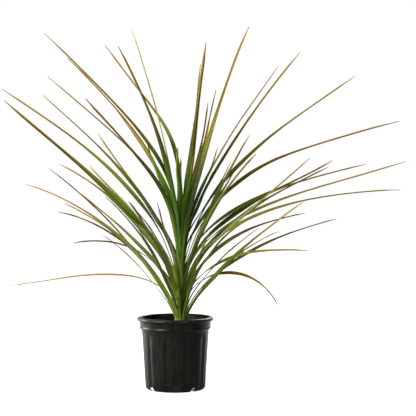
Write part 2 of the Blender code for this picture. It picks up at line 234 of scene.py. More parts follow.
# Thinner leaves that fill the bundles, which the part doesn't hold: the same columns after the
# place of each in the order of the leaves.
FILLERS = (
    (0.6, -98, 120, 300, 34, 58, 9, -20, 0.85, 0.2, 0.3),
    (1.6, -68, 170, 345, 30, 52, 9, 10, 0.84, 0.2, 0.3),
    (3.4, 205, 180, 335, 34, 56, 9, -20, 0.78, 0.1, 0.5),
    (5.5, -118, 190, 360, 30, 50, 10, -20, 0.8, 0.3, 0.3),
    (9.5, -30, 190, 350, 28, 56, 10, 30, 0.78, 0.4, 0.3),
    (41.5, 20, 130, 480, 14, 28, 12, 20, 0.92, 0.2, 0.3),
    (45.5, -12, 110, 490, 10, 22, 12, 10, 0.95, 0.1, 0.2),
    (46.5, 40, 90, 470, 10, 20, 12, 0, 0.95, 0.0, 0.2),
    (47.5, -70, 80, 500, 8, 14, 12, 0, 0.98, 0.0, 0.2),
    (48.5, -28, 90, 520, 8, 15, 12, 0, 0.98, 0.0, 0.2),
    (49.5, 150, 90, 540, 8, 16, 11, 0, 0.92, 0.1, 0.3),
    (51.5, -35, 60, 530, 6, 10, 12, 0, 0.98, 0.0, 0.2),
    (53.5, 10, 70, 560, 6, 12, 12, 20, 0.98, 0.1, 0.2),
)
# From YOUNG_FROM of the way up that order leaves turn young, and YOUNG_OVER farther up all are.
YOUNG_FROM = 0.42
YOUNG_OVER = 0.36

# What the leaf material reads from each point of a leaf
LEAF_VALUES = ("along", "across", "below", "seed", "dry", "dark", "pale", "young")

# Colours of the leaves
BLOTCH = (0.040, 0.095, 0.004)
# The underside colour: partly the leaf's own paler green, partly painted light shining through the leaf.
UNDERSIDE_WITH_PAINTED_LIGHT = (0.13, 0.175, 0.022)
# Painted shade, low in the crown:
PAINTED_CROWN_SHADE_GREEN = (0.012, 0.048, 0.001)
# Painted shade on the leaves given a dark value:
PAINTED_LEAF_SHADE_BROWN = (0.034, 0.018, 0.001)
MIDRIB = (0.20, 0.24, 0.04)
MARGIN = (0.10, 0.048, 0.008)
TIP = (0.16, 0.10, 0.03)

# Colours of the pot
PLASTIC_DARK = (0.0022, 0.0025, 0.0016)
PLASTIC_PALE = (0.0068, 0.0078, 0.0062)
PLASTIC_GLOSS = (1.0, 0.97, 0.84)
SCUFF = (0.080, 0.078, 0.074)
DUST = (0.115, 0.098, 0.058)
DRY_SOIL = (0.20, 0.145, 0.075)

# Stage. To gloss, the room in front of the plant is only ROOM as bright as the white behind it.
# SURROUND is the light from everywhere.
ROOM = 0.03
SURROUND = 0.16
FLOOR_HALF_SIZE = 12.0
FLOOR_HEIGHT = -0.0004
FLOOR_GREY = (0.45, 0.45, 0.45)
FLOOR_NEAR_LEVEL = 0.85

CAMERA_PLACE = (0.0707, -2.6, 0.411)
CAMERA_TARGET = (0.0707, 0.0, 0.391)
CAMERA_LENS = 104.0
SENSOR_WIDTH = 36.0

# Name, place, size and watts of each light
LIGHT_TARGET = (0.04, 0.0, 0.40)
LIGHTS = (
    ("key", (-2.3, -2.0, 1.35), 1.3, 218.0),
    ("fill", (2.0, -2.2, 0.7), 2.0, 18.0),
    ("rim", (-2.4, 0.9, 0.5), 1.3, 120.0),
    ("back", (0.9, 2.2, 1.6), 1.2, 46.0),
)


def smooth_step(share):
    held = min(1.0, max(0.0, share))
    return held * held * (3.0 - 2.0 * held)


def on_circle(radius, turn):
    """The x and y of a point on a circle, its angle in radians from +X."""
    return radius * math.cos(turn), radius * math.sin(turn)


def uneven(*place):
    """Smooth noise at a place."""
    return noise.noise(Vector(place))


def placed(name, data):
    """A new object of the scene."""
    made = bpy.data.objects.new(name, data)
    bpy.context.scene.collection.objects.link(made)
    return made


# ---- node helpers


class Nodes:
    """Adds and links the nodes of a material or world."""

    def __init__(self, owner):
        owner.use_nodes = True
        self.owner = owner
        self.tree = owner.node_tree

    def add(self, kind, **settings):
        node = self.tree.nodes.new(kind)
        for key, value in settings.items():
            setattr(node, key, value)
        return node

    def put(self, socket, value):
        """Links an output to a socket, or sets the socket to a constant."""
        if isinstance(value, bpy.types.NodeSocket):
            self.tree.links.new(value, socket)
        elif isinstance(value, tuple) and len(value) == 3 and socket.type == "RGBA":
            socket.default_value = (*value, 1.0)
        else:
            socket.default_value = value

    def fill(self, node, values):
        """Fills a node's inputs, by name or number."""
        for key, value in values.items():
            self.put(node.inputs[key], value)
        return node.outputs

    def filled(self, kind, values, **settings):
        return self.fill(self.add(kind, **settings), values)

    def maths(self, operation, first, second=0.0):
        return self.filled("ShaderNodeMath", {0: first, 1: second}, operation=operation)[0]

    def times(self, first, *others):
        for other in others:
            first = self.maths("MULTIPLY", first, other)
        return first

    def plus(self, first, *others):
        for other in others:
            first = self.maths("ADD", first, other)
        return first

    def attribute(self, name):
        return self.add("ShaderNodeAttribute", attribute_name=name).outputs["Fac"]

    def position(self, kind="Object"):
        return self.add("ShaderNodeTexCoord").outputs[kind]

    def axes(self, place):
        """The x, y and z of a place."""
        return tuple(self.filled("ShaderNodeSeparateXYZ", {0: place}))

    def vector(self, x, y, z):
        return self.filled("ShaderNodeCombineXYZ", {0: x, 1: y, 2: z})[0]

    def noise(self, place, scale, detail=3.0, rough=0.5):
        values = {"Vector": place, "Scale": scale, "Detail": detail, "Roughness": rough}
        return self.filled("ShaderNodeTexNoise", values)["Fac"]

    def span(self, value, low, high, to_low=0.0, to_high=1.0, kind="SMOOTHSTEP"):
        """Maps a value from one range to another, held at both ends."""
        values = {"Value": value, "From Min": low, "From Max": high, "To Min": to_low, "To Max": to_high}
        return self.filled("ShaderNodeMapRange", values, interpolation_type=kind)[0]

    def even(self, value, low, high, to_low, to_high):
        """As span, but in a straight line."""
        return self.span(value, low, high, to_low, to_high, "LINEAR")

    def mix(self, share, first, second, kind="MIX"):
        values = {0: share, 6: first, 7: second}
        return self.filled("ShaderNodeMix", values, data_type="RGBA", blend_type=kind)[2]

    def shade(self, colour, amount):
        """A colour made darker or paler."""
        return self.mix(1.0, colour, self.vector(amount, amount, amount), "MULTIPLY")

    def ramp(self, value, *stops):
        node = self.add("ShaderNodeValToRGB")
        self.put(node.inputs[0], value)
        points = node.color_ramp.elements
        while len(points) < len(stops):
            points.new(0.5)
        for point, (place, colour) in zip(points, stops):
            point.position = place
            point.color = (*colour, 1.0)
        return node.outputs[0]

    def bump(self, height, distance, strength, under=None):
        values = {"Height": height, "Distance": distance, "Strength": strength}
        if under is not None:
            values["Normal"] = under
        return self.filled("ShaderNodeBump", values)[0]

    def finish(self, colour, roughness, normal, specular, gloss_colour=(1.0, 1.0, 1.0)):
        values = {"Base Color": colour, "Roughness": roughness, "Specular IOR Level": specular}
        values.update({"Specular Tint": gloss_colour, "Normal": normal})
        self.fill(self.tree.nodes["Principled BSDF"], values)
        return self.owner


def surface(name):
    return Nodes(bpy.data.materials.new(name))


# ---- materials


def leaf_material():
    made = surface("leaf_blade")
    along, across, below, seed, dry, dark, pale, young = (made.attribute(key) for key in LEAF_VALUES)
    off_centre = made.maths("ABSOLUTE", across)
    height = made.axes(made.position())[2]

    def pattern(across_waves, along_waves, scale, rough=0.5):
        place = made.vector(made.times(across, across_waves), made.times(along, along_waves), seed)
        return made.noise(place, scale, 2.0, rough)

    blotches = pattern(0.5, 7.0, 1.3)
    veins = pattern(9.0, 2.2, 2.2, 0.6)
    streaks = pattern(2.6, 4.0, 1.6)
    green = made.ramp(
        along,
        (0.0, (0.30, 0.30, 0.10)),
        (0.02, (0.13, 0.19, 0.024)),
        (0.07, (0.092, 0.182, 0.020)),
        (0.42, (0.115, 0.190, 0.026)),
        (0.72, (0.155, 0.182, 0.016)),
        (1.0, (0.21, 0.16, 0.020)),
    )
    yellow = made.ramp(
        along,
        (0.0, (0.32, 0.32, 0.12)),
        (0.10, (0.14, 0.20, 0.016)),
        (0.45, (0.23, 0.230, 0.020)),
        (1.0, (0.34, 0.26, 0.04)),
    )
    colour = made.mix(pale, green, yellow)
    colour = made.mix(made.span(blotches, 0.35, 0.68, 0.0, 0.45), colour, BLOTCH)
    # The underside is paler and duller in itself, and is painted lighter still, as painted light that
    # stands in for light shining through the leaf.
    colour = made.mix(made.times(below, 0.30), colour, UNDERSIDE_WITH_PAINTED_LIGHT)
    # Painted shade: young leaves are painted a darker, deep green low in the crown, where the leaves
    # overlap, though not at their feet. Where this painted shade lies, the midrib and margins fade too.
    painted_crown_shade = made.times(young, made.span(height, 0.42, 0.58, 0.90, 0.0), made.span(along, 0.03, 0.10))
    plain = made.maths("SUBTRACT", 1.0, made.times(painted_crown_shade, 0.85))
    colour = made.mix(painted_crown_shade, colour, PAINTED_CROWN_SHADE_GREEN)

    # Drying starts at the tip, and runs back farther along the margins and in streaks.
    edge_reach = made.times(made.maths("POWER", off_centre, 2.0), 0.10)
    ragged = made.times(made.maths("SUBTRACT", streaks, 0.5), 0.42)
    reached = made.plus(along, edge_reach, ragged)
    dryness = made.span(made.maths("SUBTRACT", reached, dry), -0.22, 0.26)
    dried = made.ramp(
        dryness,
        (0.0, (0.115, 0.105, 0.004)),
        (0.45, (0.130, 0.080, 0.003)),
        (0.8, (0.155, 0.088, 0.004)),
        (1.0, (0.25, 0.155, 0.018)),
    )
    # Painted shade: leaves with a dark value are painted a dark shaded brown, least where they have dried,
    # and young ones only far from the foot.
    from_foot = made.maths("SUBTRACT", along, made.times(young, 0.22))
    painted_leaf_shade = made.times(
        dark, made.span(from_foot, 0.10, 0.36), made.span(dryness, 0.0, 0.45, 0.90, 0.05)
    )
    colour = made.mix(made.span(dryness, 0.0, 0.55), colour, dried)
    colour = made.mix(painted_leaf_shade, colour, PAINTED_LEAF_SHADE_BROWN)
    # The midrib is a fine pale line, and the margins are fine and reddish brown.
    # Both fade where the painted crown shade lies.
    midrib = made.times(made.span(off_centre, 0.02, 0.10, 0.35, 0.0), plain)
    colour = made.mix(midrib, colour, MIDRIB)
    margin = made.times(
        made.span(off_centre, 0.80, 0.97, 0.0, 0.65),
        made.span(along, 0.03, 0.12),
        made.span(along, 0.55, 0.90, 1.0, 0.4),
        plain,
    )
    colour = made.mix(margin, colour, MARGIN)
    colour = made.mix(made.span(along, 0.99, 1.0), colour, TIP)
    colour = made.shade(colour, made.even(veins, 0.30, 0.70, 0.76, 1.20))
    roughness = made.even(made.plus(veins, made.times(dryness, 0.5)), 0.3, 1.1, 0.46, 0.72)
    return made.finish(colour, roughness, made.bump(veins, 0.00022, 0.8), 0.07)


def pot_material():
    made = surface("pot_plastic")
    place = made.position()
    x, y, height = made.axes(place)
    clouds = made.noise(place, 26.0, 4.0, 0.6)

    def stretched(level_waves, height_waves, detail):
        parts = (made.times(x, level_waves), made.times(y, level_waves), made.times(height, height_waves))
        return made.noise(made.vector(*parts), 1.0, detail)

    # Fine moulding streaks run down the wall, and scuffs run round it.
    streaks = stretched(420.0, 16.0, 2.0)
    scuffs = made.span(stretched(60.0, 700.0, 3.0), 0.66, 0.74)
    grain = made.noise(place, 900.0, 2.0)
    dust = made.times(made.span(clouds, 0.48, 0.74), made.span(height, 0.002, 0.045, 0.55, 0.16))
    colour = made.mix(made.span(streaks, 0.3, 0.7), PLASTIC_DARK, PLASTIC_PALE)
    colour = made.mix(made.times(scuffs, 0.18), colour, SCUFF)
    colour = made.mix(made.times(dust, 0.18), colour, DUST)
    # Dry soil clings to the lip.
    lip = made.times(made.span(height, 0.147, 0.154), made.span(clouds, 0.46, 0.66, 0.02, 0.20))
    colour = made.mix(lip, colour, DRY_SOIL)
    roughness = made.plus(
        made.even(clouds, 0.3, 0.7, 0.25, 0.37), made.times(made.plus(dust, scuffs), 0.20)
    )
    normal = made.bump(grain, 0.00006, 0.4, made.bump(streaks, 0.00034, 0.7))
    return made.finish(colour, roughness, normal, 0.11, PLASTIC_GLOSS)


def soil_material():
    made = surface("potting_soil")
    place = made.position()
    broad = made.noise(place, 70.0, 4.0, 0.65)
    fine = made.noise(place, 520.0, 4.0, 0.7)
    colour = made.ramp(
        fine,
        (0.30, (0.012, 0.008, 0.005)),
        (0.50, (0.034, 0.021, 0.013)),
        (0.66, (0.075, 0.046, 0.027)),
        (0.80, (0.15, 0.095, 0.055)),
    )
    colour = made.mix(made.span(broad, 0.38, 0.62, 0.0, 0.5), colour, (0.018, 0.011, 0.007))
    roughness = made.even(broad, 0.3, 0.7, 0.78, 0.97)
    return made.finish(colour, roughness, made.bump(fine, 0.0012, 1.0), 0.25)


def bark_material():
    made = surface("bark_chip")
    place = made.position()
    tone = made.attribute("tone")
    grain_place = made.vector(made.attribute("grain_x"), made.attribute("grain_y"), tone)
    fibres = made.noise(grain_place, 1.0, 3.0, 0.6)
    colour = made.ramp(
        tone,
        (0.0, (0.022, 0.013, 0.008)),
        (0.45, (0.060, 0.033, 0.018)),
        (0.75, (0.13, 0.070, 0.036)),
        (1.0, (0.24, 0.145, 0.080)),
    )
    colour = made.shade(colour, made.even(fibres, 0.3, 0.7, 0.62, 1.30))
    roughness = made.even(made.noise(place, 60.0, 2.0), 0.35, 0.65, 0.70, 0.93)
    return made.finish(colour, roughness, made.bump(fibres, 0.0007, 0.9), 0.3)


def perlite_material():
    made = surface("perlite")
    place = made.position()
    specks = made.noise(place, 900.0, 3.0, 0.6)
    stains = made.noise(place, 160.0, 3.0)
    colour = made.mix(made.span(specks, 0.35, 0.65), (0.66, 0.64, 0.58), (0.80, 0.79, 0.75))
    colour = made.mix(made.span(stains, 0.52, 0.72, 0.0, 0.75), colour, (0.22, 0.16, 0.10))
    roughness = made.even(stains, 0.3, 0.7, 0.86, 0.98)
    return made.finish(colour, roughness, made.bump(specks, 0.0005, 0.9), 0.3)


def cane_material():
    made = surface("cane_bark")
    around = made.attribute("around")
    height = made.attribute("height")
    grain_place = made.vector(made.times(around, 24.0), made.times(height, 90.0), 0.0)
    fibres = made.noise(grain_place, 1.0, 3.0, 0.6)
    patches = made.noise(made.position(), 190.0, 3.0)
    colour = made.ramp(
        fibres, (0.30, (0.085, 0.062, 0.034)), (0.52, (0.20, 0.155, 0.092)), (0.74, (0.36, 0.30, 0.20))
    )
    colour = made.mix(made.span(patches, 0.50, 0.66, 0.0, 0.6), colour, (0.17, 0.20, 0.075))
    colour = made.mix(made.times(made.attribute("ring"), 0.75), colour, (0.055, 0.036, 0.020))
    roughness = made.even(patches, 0.3, 0.7, 0.66, 0.88)
    return made.finish(colour, roughness, made.bump(fibres, 0.0006, 0.9), 0.35)


def root_material():
    made = surface("fleshy_root")
    place = made.position()
    rings = made.noise(place, 620.0, 3.0, 0.6)
    stains = made.noise(place, 150.0, 2.0)
    colour = made.mix(made.span(rings, 0.35, 0.65), (0.56, 0.47, 0.31), (0.74, 0.67, 0.50))
    colour = made.mix(made.span(stains, 0.52, 0.70, 0.0, 0.6), colour, (0.26, 0.15, 0.075))
    roughness = made.even(stains, 0.3, 0.7, 0.52, 0.74)
    return made.finish(colour, roughness, made.bump(rings, 0.0003, 0.8), 0.4)


# ---- mesh helpers


def soften(mesh, sharp=None):
    """Smooths a mesh, though not across edges sharper than this many degrees."""
    mesh.shade_smooth()
    if sharp is not None:
        mesh.set_sharp_from_angle(angle=math.radians(sharp))


def piece(name, points, faces, material, nodes=(), values=None, sharp=None):
    """A mesh that belongs to the object. Its values are named numbers, one for each point."""
    mesh = bpy.data.meshes.new(name)
    mesh.from_pydata(points, [], faces)
    mesh.validate()
    for key, numbers in (values or {}).items():
        mesh.attributes.new(key, "FLOAT", "POINT").data.foreach_set("value", numbers)
    mesh.materials.append(material)
    soften(mesh, sharp)
    made = placed(name, mesh)
    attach(made, BODY)
    if nodes:
        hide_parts(*nodes)
    return made


def turned_over(faces):
    return [face[::-1] for face in faces]


def grid_faces(rows, columns, start=0, closed=True):
    """Quads between rows of points. A closed row's last point joins its first."""
    faces = []
    for row in range(rows - 1):
        for column in range(columns if closed else columns - 1):
            after = (column + 1) % columns
            below, above = start + row * columns, start + (row + 1) * columns
            faces.append((below + column, below + after, above + after, above + column))
    return faces


def disc_face(start, columns):
    """One face inside a row of points."""
    return tuple(range(start, start + columns))


def tube_faces(rows, columns, start=0):
    """Quads between closed rows of points, with a face at both ends."""
    faces = grid_faces(rows, columns, start)
    faces.append(disc_face(start, columns)[::-1])
    faces.append(disc_face(start + (rows - 1) * columns, columns))
    return faces


def arc(centre, radius, start, end, count):
    """Points of an arc, its angles in degrees from +X."""
    points = []
    for i in range(count + 1):
        x, y = on_circle(radius, math.radians(start + (end - start) * i / count))
        points.append((centre[0] + x, centre[1] + y))
    return points


def beside(radius, height, *steps):
    """Points so many mm outward of a radius and above a height."""
    return [(radius + out * MM, height + up * MM) for out, up in steps]


# ---- pot


def outer_radius(height):
    share = (height - FOOT_HEIGHT) / (BODY_TOP - FOOT_HEIGHT)
    return BODY_FOOT_RADIUS + share * (BODY_TOP_RADIUS - BODY_FOOT_RADIUS)


def flute_inset(turn, height):
    pitch = 360.0 / FLUTES
    off = (turn - FIRST_FLUTE + pitch / 2) % pitch - pitch / 2
    across = abs(off) / (FLUTE_SPREAD / 2)
    top = FLUTE_TOP - FLUTE_ARCH * across * across
    share = smooth_step(1.0 - across) ** 0.7
    return FLUTE_DEPTH * share * smooth_step((top - height) / FLUTE_ARCH)


def pot_outline():
    """The closed outline of the wall, as (radius, height), down the outside and up the inside."""
    lip = LIP_DROP / 2
    lip_bottom = POT_HEIGHT - LIP_DROP
    collar_inside = COLLAR_RADIUS - WALL
    foot_inside = BODY_FOOT_RADIUS - WALL
    outside = arc((LIP_RADIUS - lip, POT_HEIGHT - lip), lip, 90, -58, 18)
    outside += beside(COLLAR_RADIUS, lip_bottom, (0.9, 0.35), (0.1, -0.5), (-0.2, -3))
    outside += beside(COLLAR_RADIUS, COLLAR_BOTTOM, (-0.5, 4), (-0.6, 2.2), (-0.1, 1.2))
    outside += beside(COLLAR_RADIUS, COLLAR_BOTTOM, (0.2, 0.2), (-0.1, -0.8), (-0.9, -2.0))
    outside += beside(BODY_TOP_RADIUS, BODY_TOP, (1.1, 1.7), (0.3, 0.7))
    heights = [BODY_TOP - (BODY_TOP - FOOT_HEIGHT) * row / BODY_ROWS for row in range(BODY_ROWS + 1)]
    body = [(outer_radius(height), height) for height in heights]
    outside += body
    for inset, level in ((0.35, 0.78), (0.95, 0.56), (1.9, 0.36), (3.4, 0.17)):
        outside.append((BODY_FOOT_RADIUS - inset * MM, FOOT_HEIGHT * level))
    outside.append((BASE_RADIUS + 1.2 * MM, FOOT_HEIGHT * 0.05))
    outside += beside(BASE_RADIUS, 0.0, (0, 0), (-6, 0), (-6.8, 0.5), (-12, 0.5), (-13, 0.05))
    outside += beside(0.0, 0.0, (16, 0.05), (15, 0.45), (4, 0.45))
    outside.append((BASE_DISC_RADIUS, BASE_GAP))
    inside = [(BASE_DISC_RADIUS, WALL), (16 * MM, WALL)]
    inside += beside(BASE_RADIUS, WALL, (-8, 0), (-0.6, 0))
    inside += beside(foot_inside, FOOT_HEIGHT * 0.4, (-1.6, 0.8))
    inside += beside(foot_inside, FOOT_HEIGHT * 0.75, (-0.3, 0.3))
    inside += [(radius - WALL, height) for radius, height in reversed(body)]
    inside += beside(collar_inside, COLLAR_BOTTOM, (-0.8, -1.2), (0, 2), (0, 8))
    inside += beside(collar_inside, lip_bottom, (0, 1))
    inside += beside(collar_inside, POT_HEIGHT, (0.3, -3.4))
    inside += beside(LIP_RADIUS - LIP_DROP, POT_HEIGHT, (0.9, -1.4), (2.2, -0.4))
    return outside + inside


def pot_angles():
    """Angles of the pot's columns in degrees, with extra ones beside the mould's seams."""
    angles = [360.0 * i / POT_COLUMNS for i in range(POT_COLUMNS)]
    for seam in (0.0, 180.0):
        angles += [(seam + side * SEAM_HALF_ANGLE) % 360.0 for side in (-1.0, 1.0)]
    return sorted(angles)


def build_pot(material):
    outline = pot_outline()
    angles = pot_angles()
    points = []
    for radius, height in outline:
        for turn in angles:
            drawn = radius
            if radius > BASE_RADIUS - 2 * MM and height < BODY_TOP:
                drawn -= flute_inset(turn, height) * smooth_step(height / FOOT_HEIGHT)
            on_seam = turn in (0.0, 180.0) and radius >= outer_radius(height) - 0.1 * MM
            if on_seam and 1 * MM < height < POT_HEIGHT - 1 * MM:
                drawn += SEAM_HEIGHT
            points.append((*on_circle(drawn, math.radians(turn)), height))
    columns = len(angles)
    # The outline runs down the outside, so each quad is turned over to face outwards.
    faces = turned_over(grid_faces(len(outline), columns))
    last = (len(outline) - 1) * columns
    for column in range(columns):
        after = (column + 1) % columns
        faces.append((column, after, last + after, last + column))
    # Discs close the middle of the base, in place of the quads that would join its two sides.
    low = outline.index((BASE_DISC_RADIUS, BASE_GAP)) * columns
    del faces[low:low + columns]
    faces.append(disc_face(low, columns)[::-1])
    faces.append(disc_face(low + columns, columns))
    made = piece("pot_shell", points, faces, material, ["pot"])
    cut_drain_holes(made)
    soften(made.data, POT_SHARP_ANGLE)


def cut_drain_holes(pot):
    """Cuts the round-topped holes through the corner between the wall and the base."""
    shape = bmesh.new()
    for i in range(HOLES):
        turn = math.radians(FIRST_HOLE + 360.0 / HOLES * i)
        middle = BODY_FOOT_RADIUS - 2 * MM
        place = Matrix.Translation((*on_circle(middle, turn), HOLE_CENTRE_HEIGHT))
        place = place @ Matrix.Rotation(turn, 4, "Z") @ Matrix.Rotation(math.pi / 2, 4, "Y")
        bmesh.ops.create_cone(
            shape, cap_ends=True, segments=HOLE_SIDES, depth=HOLE_LENGTH, matrix=place,
            radius1=HOLE_RADIUS, radius2=HOLE_RADIUS,
        )
    mesh = bpy.data.meshes.new("drain_cutter")
    shape.to_mesh(mesh)
    shape.free()
    cutter = placed("drain_cutter", mesh)
    cut = pot.modifiers.new("Drain holes", "BOOLEAN")
    cut.operation = "DIFFERENCE"
    cut.solver = "EXACT"
    cut.object = cutter
    bpy.context.view_layer.update()
    graph = bpy.context.evaluated_depsgraph_get()
    settled = bpy.data.meshes.new_from_object(pot.evaluated_get(graph))
    pot.modifiers.clear()
    pot.data = settled
    bpy.data.objects.remove(cutter, do_unlink=True)


# ---- soil


def soil_height(x, y):
    """The height of the soil's surface: mounded round the cane, uneven, with a settled edge."""
    from_cane = math.hypot(x - CANE_X, y)
    rise = smooth_step(1.0 - (from_cane - MOUND_TOP_RADIUS) / MOUND_RADIUS)
    mound = (SOIL_CANE_HEIGHT - SOIL_EDGE_HEIGHT) * rise
    lumpy = 1.7 * MM * uneven(x * 38.0, y * 38.0, 1.7)
    crumbly = 0.8 * MM * uneven(x * 150.0, y * 150.0, 4.1)
    crumbly += 0.5 * MM * uneven(x * 420.0, y * 420.0, 9.3)
    settled = EDGE_SETTLING * smooth_step((math.hypot(x, y) - EDGE_START) / EDGE_WIDTH)
    return SOIL_EDGE_HEIGHT + mound + lumpy + crumbly - settled - 0.6 * MM


def build_soil(material):
    """The soil: an uneven top, and a plain block below it."""
    rim = outer_radius(SOIL_EDGE_HEIGHT - 6 * MM) - WALL - 0.4 * MM
    points = [(0.0, 0.0, soil_height(0.0, 0.0))]
    for row in range(1, SOIL_ROWS + 1):
        for column in range(SOIL_COLUMNS):
            x, y = on_circle(rim * row / SOIL_ROWS, 2 * math.pi * column / SOIL_COLUMNS)
            points.append((x, y, soil_height(x, y)))
    faces = [(0, 1 + column, 1 + (column + 1) % SOIL_COLUMNS) for column in range(SOIL_COLUMNS)]
    faces += turned_over(grid_faces(SOIL_ROWS, SOIL_COLUMNS, 1))
    sides = [(outer_radius(height * MM), height * MM) for height in (115, 60, 24, 15)]
    sides += beside(BASE_RADIUS, 0.0, (4.5, 10), (-1, 7), (-5, 4), (-8, 2.2))
    for radius, height in sides:
        for column in range(SOIL_COLUMNS):
            turn = 360.0 * column / SOIL_COLUMNS
            crumbs = 0.5 * MM * uneven(turn * 0.35, height * 160.0, 2.0)
            held = radius - WALL - 1.1 * MM - flute_inset(turn, height - 4 * MM) * 1.2 + crumbs
            points.append((*on_circle(held, math.radians(turn)), height))
    first = 1 + (SOIL_ROWS - 1) * SOIL_COLUMNS
    faces += turned_over(grid_faces(len(sides) + 1, SOIL_COLUMNS, first))
    faces.append(disc_face(first + len(sides) * SOIL_COLUMNS, SOIL_COLUMNS)[::-1])
    piece("soil_bed", points, faces, material, ["soil"])


def scatter_place(chance, least_from_cane, most_from_axis):
    while True:
        radius = most_from_axis * math.sqrt(chance.random())
        x, y = on_circle(radius, chance.uniform(0.0, 2 * math.pi))
        if math.hypot(x - CANE_X, y) > least_from_cane:
            return x, y


def tumbled(chance, tilt):
    """A random turn about the vertical, then a random tilt of up to this many degrees."""
    lean = math.radians(chance.uniform(0.0, tilt))
    axis = Vector((chance.uniform(-1.0, 1.0), chance.uniform(-1.0, 1.0), 0.01)).normalized()
    return Matrix.Rotation(lean, 3, axis) @ Matrix.Rotation(chance.uniform(0.0, 2 * math.pi), 3, "Z")


def build_bark(material):
    """Chips of composted bark: flat splinters with ragged ends, in one piece."""
    chance = random.Random(BARK_SEED)
    points, faces = [], []
    values = {"tone": [], "grain_x": [], "grain_y": []}
    for _ in range(BARK_CHIPS):
        x, y = scatter_place(chance, CANE_RADIUS + 3 * MM, BARK_SCATTER_RADIUS)
        length = chance.uniform(3.5, 12.0) * MM
        width = length * chance.uniform(0.22, 0.6)
        depth = chance.uniform(0.7, 2.0) * MM
        turn = tumbled(chance, 24)
        centre = Vector((x, y, soil_height(x, y) + depth * chance.uniform(-0.1, 0.5)))
        tone = chance.random() ** 1.6
        seed = chance.uniform(0.0, 50.0)
        faces += turned_over(tube_faces(BARK_RINGS, BARK_SIDES, len(points)))
        for ring in range(BARK_RINGS):
            share = 2.0 * ring / (BARK_RINGS - 1) - 1.0
            narrowing = 1.0 - 0.45 * abs(share) ** 3
            for side in range(BARK_SIDES):
                angle = 2 * math.pi * (side + 0.5) / BARK_SIDES
                wobble = chance.uniform(0.78, 1.16)
                local = Vector((
                    length / 2 * share * chance.uniform(0.86, 1.0),
                    width / 2 * math.cos(angle) * narrowing * wobble,
                    depth / 2 * math.sin(angle) * narrowing * wobble,
                ))
                points.append(centre + turn @ local)
                values["tone"].append(tone)
                values["grain_x"].append(seed + local.x * 90.0)
                values["grain_y"].append(local.y * 1100.0 + local.z * 700.0)
    piece("bark_chips", points, faces, material, values=values, sharp=30)


def lump(chance, centre, size, turn, unevenness, detail):
    """The points and faces of one uneven lump."""
    shape = bmesh.new()
    bmesh.ops.create_icosphere(shape, subdivisions=detail, radius=1.0)
    seed = Vector([chance.uniform(0, 90) for _ in range(3)])
    made = []
    for vertex in shape.verts:
        swell = 1.0 + unevenness * noise.noise(vertex.co * 1.7 + seed)
        local = Vector([along * half for along, half in zip(vertex.co, size)]) * swell
        made.append(centre + turn @ local)
    faces = [tuple(vertex.index for vertex in face.verts) for face in shape.faces]
    shape.free()
    return made, faces


def build_lumps(name, material, count, seed, least, most, detail, unevenness, sunk):
    """Many lumps on the soil, in one piece."""
    chance = random.Random(seed)
    points, faces = [], []
    for _ in range(count):
        x, y = scatter_place(chance, CANE_RADIUS + 2 * MM, SCATTER_RADIUS)
        radius = chance.uniform(least, most) / 2
        size = [radius * chance.uniform(0.7, 1.2) for _ in range(3)]
        centre = Vector((x, y, soil_height(x, y) + radius * sunk))
        made, around = lump(chance, centre, size, tumbled(chance, 90), unevenness, detail)
        start = len(points)
        points += made
        faces += [tuple(start + index for index in face) for face in around]
    piece(name, points, faces, material, sharp=40)


def tube(path, radii, sides):
    """The points of a tube along a path."""
    points = []
    normal = Vector((0.0, 0.0, 1.0))
    for i, here in enumerate(path):
        before, after = path[max(0, i - 1)], path[min(len(path) - 1, i + 1)]
        along = (after - before).normalized()
        side = along.cross(normal).normalized()
        normal = side.cross(along)
        for k in range(sides):
            angle = 2 * math.pi * k / sides
            points.append(here + radii[i] * (side * math.cos(angle) + normal * math.sin(angle)))
    return points


def build_roots(material):
    """Fleshy roots that circle the bottom of the soil and show in the drain holes."""
    chance = random.Random(ROOT_SEED)
    points, faces = [], []
    for hole in range(HOLES):
        middle = math.radians(FIRST_HOLE + 360.0 / HOLES * hole)
        for strand in range(ROOTS_IN_A_HOLE):
            spread = chance.uniform(0.16, 0.26)
            lift = (3.0 + 1.9 * strand + chance.uniform(-0.5, 0.5)) * MM
            depth = chance.uniform(4.4, 5.6) * MM + max(0.0, 5 * MM - lift)
            thick = chance.uniform(1.2, 1.9) * MM
            path, radii = [], []
            for i in range(ROOT_POINTS):
                share = i / (ROOT_POINTS - 1)
                radius = BODY_FOOT_RADIUS - depth + 0.8 * MM * math.sin(5 * share + strand)
                height = lift + 1.2 * MM * math.sin(4 * share + 2.1 * strand + hole)
                height = max(height, WALL + thick + 0.2 * MM)
                path.append(Vector((*on_circle(radius, middle + spread * (2 * share - 1)), height)))
                radii.append(thick * (1.0 - 0.35 * abs(2 * share - 1)))
            faces += tube_faces(ROOT_POINTS, ROOT_SIDES, len(points))
            points += tube(path, radii, ROOT_SIDES)
    piece("drain_hole_roots", points, faces, material, sharp=60)


# ---- cane


def cane_radius(height):
    share = (height - CANE_TAPER_START) / (CANE_TOP - CANE_TAPER_START)
    return CANE_RADIUS + min(1.0, max(0.0, share)) * (CANE_TIP_RADIUS - CANE_RADIUS)


